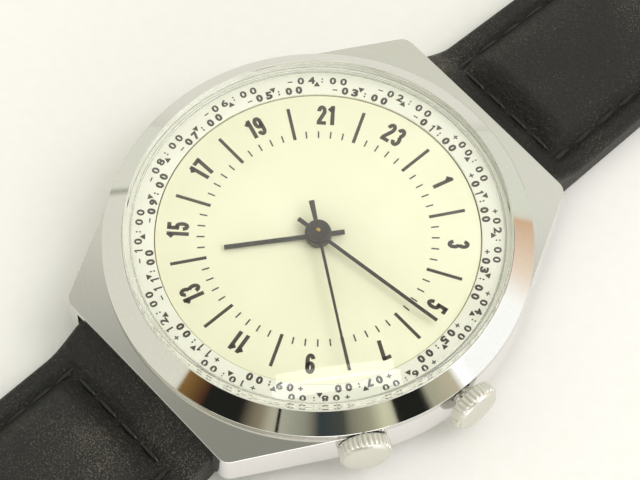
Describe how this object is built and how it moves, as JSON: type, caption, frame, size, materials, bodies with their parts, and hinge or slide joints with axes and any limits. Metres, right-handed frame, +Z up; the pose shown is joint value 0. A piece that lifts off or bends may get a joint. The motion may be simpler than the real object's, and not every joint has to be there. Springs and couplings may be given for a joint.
{
  "type": "world time wristwatch",
  "caption": "Wristwatch with a day-long dial, a turning time zone ring, domed crystal, side crowns and a padded leather strap laid out flat.",
  "frame": {"origin": "centre of the case back's flat outer face, on the surface that the watch lies on", "axes": "+Z up through the dial, +Y towards the 24 mark and the buckle end of the strap, +X towards the winding crown"},
  "size_m": [0.0412, 0.238, 0.0103],
  "materials": {
    "case_steel": "circular satin brushing",
    "polished_steel": "mirror polish",
    "acrylic": "polished acrylic",
    "ring_enamel": "satin cream enamel with dark print",
    "dial_enamel": "satin cream enamel with dark print",
    "hand_lacquer": "gloss black lacquer",
    "gasket_rubber": "smooth rubber",
    "strap_leather": "black grained calf",
    "plate_brass": "fine grained",
    "bridge_nickel": "nickel plated, fine grained",
    "wheel_brass": "gilt",
    "movement_steel": "polished",
    "spring_steel": "tempered"
  },
  "bodies": {
    "case": {"case_middle": "case_steel", "bezel": "polished_steel", "crystal": "acrylic", "dial": "dial_enamel", "case_back": "case_steel", "back_gasket": "gasket_rubber", "winding_tube": "polished_steel", "zone_tube": "polished_steel", "spring_bar_top": "movement_steel", "spring_bar_bottom": "movement_steel", "movement_holder": "movement_steel", "main_plate": "plate_brass", "train_bridge": "bridge_nickel", "barrel_bridge": "bridge_nickel", "balance_cock": "bridge_nickel", "pallet_bridge": "bridge_nickel", "mainspring": "spring_steel", "balance_spring": "spring_steel", "crown_wheel_screw": "movement_steel", "train_bridge_screw_left": "movement_steel", "train_bridge_screw_right": "movement_steel", "barrel_bridge_screw_left": "movement_steel", "barrel_bridge_screw_right": "movement_steel", "balance_cock_screw": "movement_steel"},
    "zone_ring": {"zone_ring": "ring_enamel"},
    "zone_crown": {"zone_crown": "polished_steel", "zone_stem": "movement_steel"},
    "minute_hand": {"minute_hand": "hand_lacquer", "cannon_pinion": "movement_steel"},
    "minute_wheel": {"minute_wheel": "wheel_brass"},
    "hour_hand": {"hour_hand": "hand_lacquer", "hour_wheel": "wheel_brass"},
    "second_hand": {"second_hand": "hand_lacquer", "fourth_wheel": "wheel_brass"},
    "third_wheel": {"third_wheel": "wheel_brass"},
    "centre_wheel": {"centre_wheel": "wheel_brass"},
    "escape_wheel": {"escape_wheel": "movement_steel"},
    "barrel": {"barrel_drum": "wheel_brass", "barrel_cover": "wheel_brass"},
    "pallet_fork": {"pallet_fork": "movement_steel"},
    "balance": {"balance_wheel": "wheel_brass"},
    "winding_pinion": {"winding_pinion": "movement_steel"},
    "clutch_wheel": {"clutch_wheel": "movement_steel"},
    "winding_crown": {"winding_crown": "polished_steel", "winding_stem": "movement_steel"},
    "setting_lever": {"setting_lever": "movement_steel"},
    "crown_wheel": {"crown_wheel": "movement_steel"},
    "ratchet": {"ratchet_wheel": "movement_steel", "ratchet_screw": "movement_steel", "barrel_arbor": "movement_steel"},
    "click": {"click": "movement_steel"},
    "buckle_strap": {"strap_buckle_side": "strap_leather", "fixed_keeper": "strap_leather"},
    "tail_strap": {"strap_tail_side": "strap_leather"},
    "free_keeper": {"free_keeper": "strap_leather"},
    "buckle": {"buckle_frame": "polished_steel", "buckle_bar": "polished_steel"},
    "buckle_tongue": {"buckle_tongue": "polished_steel"}
  },
  "joints": [
    {"name": "buckle_strap_hinge", "type": "hinge", "parent": "case", "child": "buckle_strap", "pos_m": [0, 0.0189, 0.0032], "axis": [1, 0, 0], "range_deg": [-60, 8]},
    {"name": "tail_strap_hinge", "type": "hinge", "parent": "case", "child": "tail_strap", "pos_m": [0, -0.0189, 0.0032], "axis": [-1, 0, 0], "range_deg": [-60, 8]},
    {"name": "buckle_hinge", "type": "hinge", "parent": "buckle_strap", "child": "buckle", "pos_m": [0, 0.0939, 0.0014], "axis": [1, 0, 0], "range_deg": [-60, 40]},
    {"name": "tongue_hinge", "type": "hinge", "parent": "buckle", "child": "buckle_tongue", "pos_m": [0, 0.0939, 0.0014], "axis": [1, 0, 0], "range_deg": [0, 90]},
    {"name": "keeper_slide", "type": "slide", "parent": "buckle_strap", "child": "free_keeper", "axis": [0, 1, 0], "range_m": [-0.006, 0.005]},
    {"name": "zone_ring_spin", "type": "hinge", "parent": "case", "child": "zone_ring", "pos_m": [0, 0, 0.0068], "axis": [0, 0, 1], "continuous": true},
    {"name": "zone_crown_spin", "type": "hinge", "parent": "case", "child": "zone_crown", "pos_m": [0.01732, -0.01, 0.0045], "axis": [0.866, -0.5, 0], "continuous": true},
    {"name": "minute_hand_spin", "type": "hinge", "parent": "case", "child": "minute_hand", "pos_m": [0, 0, 0.0076], "axis": [0, 0, 1], "continuous": true},
    {"name": "minute_wheel_spin", "type": "hinge", "parent": "case", "child": "minute_wheel", "pos_m": [0.00305, -0.00111, 0.0059], "axis": [0, 0, 1], "continuous": true},
    {"name": "hour_hand_spin", "type": "hinge", "parent": "case", "child": "hour_hand", "pos_m": [0, 0, 0.0072], "axis": [0, 0, 1], "continuous": true},
    {"name": "second_hand_spin", "type": "hinge", "parent": "case", "child": "second_hand", "pos_m": [0, 0, 0.008], "axis": [0, 0, 1], "continuous": true},
    {"name": "third_wheel_spin", "type": "hinge", "parent": "case", "child": "third_wheel", "pos_m": [-0.00444, -0.00207, 0.004], "axis": [0, 0, 1], "continuous": true},
    {"name": "centre_wheel_spin", "type": "hinge", "parent": "case", "child": "centre_wheel", "pos_m": [0, 0, 0.005], "axis": [0, 0, 1], "continuous": true},
    {"name": "escape_wheel_spin", "type": "hinge", "parent": "case", "child": "escape_wheel", "pos_m": [0.00231, -0.004, 0.0044], "axis": [0, 0, 1], "continuous": true},
    {"name": "barrel_spin", "type": "hinge", "parent": "case", "child": "barrel", "pos_m": [0.00286, 0.00596, 0.0044], "axis": [0, 0, 1], "continuous": true},
    {"name": "pallet_fork_swing", "type": "hinge", "parent": "case", "child": "pallet_fork", "pos_m": [0.00039, -0.00617, 0.0045], "axis": [0, 0, 1], "range_deg": [-5, 5]},
    {"name": "balance_swing", "type": "hinge", "parent": "case", "child": "balance", "pos_m": [-0.0016, -0.0084, 0.003], "axis": [0, 0, 1], "range_deg": [-270, 270], "stiffness_Nm_per_rad": 0.00000013},
    {"name": "winding_spin", "type": "hinge", "parent": "case", "child": "winding_pinion", "pos_m": [0.00828, 0, 0.0045], "axis": [1, 0, 0], "continuous": true},
    {"name": "crown_pull", "type": "slide", "parent": "winding_pinion", "child": "winding_crown", "axis": [1, 0, 0], "range_m": [0, 0.0009]},
    {"name": "clutch_slide", "type": "slide", "parent": "winding_pinion", "child": "clutch_wheel", "axis": [1, 0, 0], "range_m": [-0.00041, 0]},
    {"name": "setting_lever_swing", "type": "hinge", "parent": "case", "child": "setting_lever", "pos_m": [0.0102, -0.0029, 0.0059], "axis": [0, 0, 1], "range_deg": [-18, 0]},
    {"name": "crown_wheel_spin", "type": "hinge", "parent": "case", "child": "crown_wheel", "pos_m": [0.0054, 0, 0.0028], "axis": [0, 0, 1], "continuous": true},
    {"name": "ratchet_spin", "type": "hinge", "parent": "case", "child": "ratchet", "pos_m": [0.00286, 0.00596, 0.0028], "axis": [0, 0, 1], "continuous": true},
    {"name": "click_swing", "type": "hinge", "parent": "case", "child": "click", "pos_m": [-0.00179, 0.00427, 0.0028], "axis": [0, 0, 1], "range_deg": [0, 8]}
  ],
  "couplings": [
    {"joint": "zone_crown_spin", "follows": "zone_ring_spin", "ratio": -9},
    {"joint": "minute_wheel_spin", "follows": "minute_hand_spin", "ratio": -0.25},
    {"joint": "hour_hand_spin", "follows": "minute_hand_spin", "ratio": 0.041667},
    {"joint": "third_wheel_spin", "follows": "second_hand_spin", "ratio": -0.13333},
    {"joint": "centre_wheel_spin", "follows": "second_hand_spin", "ratio": 0.016667},
    {"joint": "escape_wheel_spin", "follows": "second_hand_spin", "ratio": -10},
    {"joint": "barrel_spin", "follows": "second_hand_spin", "ratio": -0.0025641},
    {"joint": "crown_wheel_spin", "follows": "winding_spin", "ratio": 0.5625},
    {"joint": "ratchet_spin", "follows": "winding_spin", "ratio": -0.45},
    {"joint": "clutch_slide", "follows": "crown_pull", "ratio": -0.44444},
    {"joint": "setting_lever_swing", "follows": "crown_pull", "rad_per_m": -344.8}
  ]
}
